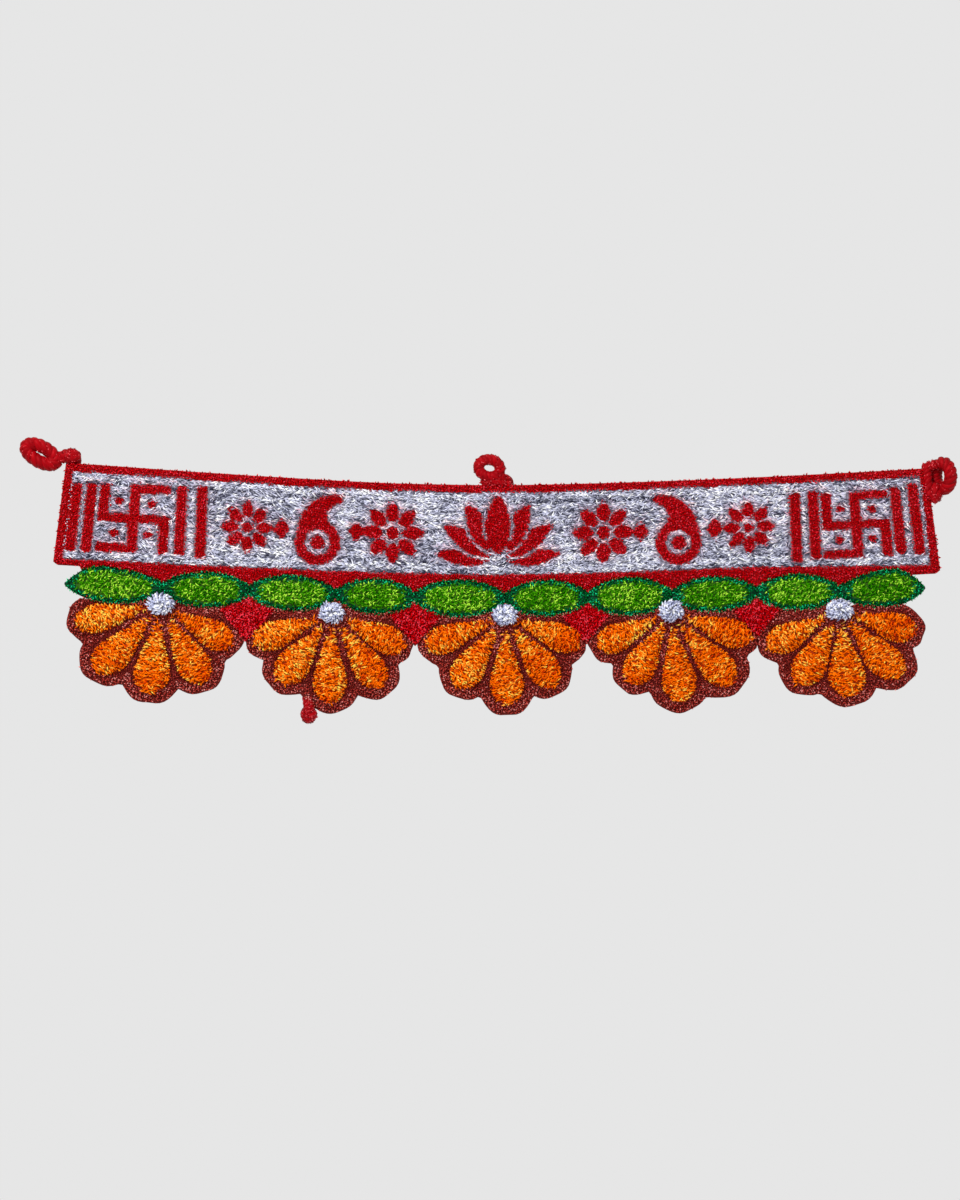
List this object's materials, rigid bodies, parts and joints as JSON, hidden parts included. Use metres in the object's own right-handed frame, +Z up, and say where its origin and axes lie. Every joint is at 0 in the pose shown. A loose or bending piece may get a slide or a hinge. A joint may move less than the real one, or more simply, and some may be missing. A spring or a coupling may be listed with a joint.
{
  "type": "toran door hanging",
  "caption": "Long tufted yarn door hanging: a silver heading with a red edge and hanging loops, over a garland of green leaves and orange half marigolds with white knots.",
  "frame": {"origin": "middle of the heading's top edge, halfway through its thickness", "axes": "+X along the hanging to the viewer's right, +Z up, -Y out of the tufted face towards the viewer"},
  "size_m": [0.9142, 0.0303, 0.28],
  "materials": {
    "silver_pile": "shiny cut yarn pile",
    "red_pile": "velvety yarn pile",
    "green_pile": "shiny cut yarn pile",
    "orange_pile": "shiny cut yarn pile",
    "white_tuft": "tufted yarn"
  },
  "bodies": {
    "root": {"band_panel": "silver_pile", "border_top": "red_pile", "border_left": "red_pile", "border_right": "red_pile", "border_bottom": "red_pile", "leaf_1": "green_pile", "leaf_2": "green_pile", "leaf_3": "green_pile", "leaf_4": "green_pile", "leaf_5": "green_pile", "leaf_6": "green_pile", "leaf_7": "green_pile", "leaf_8": "green_pile", "leaf_9": "green_pile", "leaf_10": "green_pile", "diamond_1": "red_pile", "diamond_2": "red_pile", "diamond_3": "red_pile", "diamond_4": "red_pile", "flower_1": "orange_pile", "flower_2": "orange_pile", "flower_3": "orange_pile", "flower_4": "orange_pile", "flower_5": "orange_pile", "knot_1": "white_tuft", "knot_2": "white_tuft", "knot_3": "white_tuft", "knot_4": "white_tuft", "knot_5": "white_tuft", "loop_left": "red_pile", "loop_centre": "red_pile", "loop_right": "red_pile", "end_knot": "red_pile"}
  },
  "joints": []
}
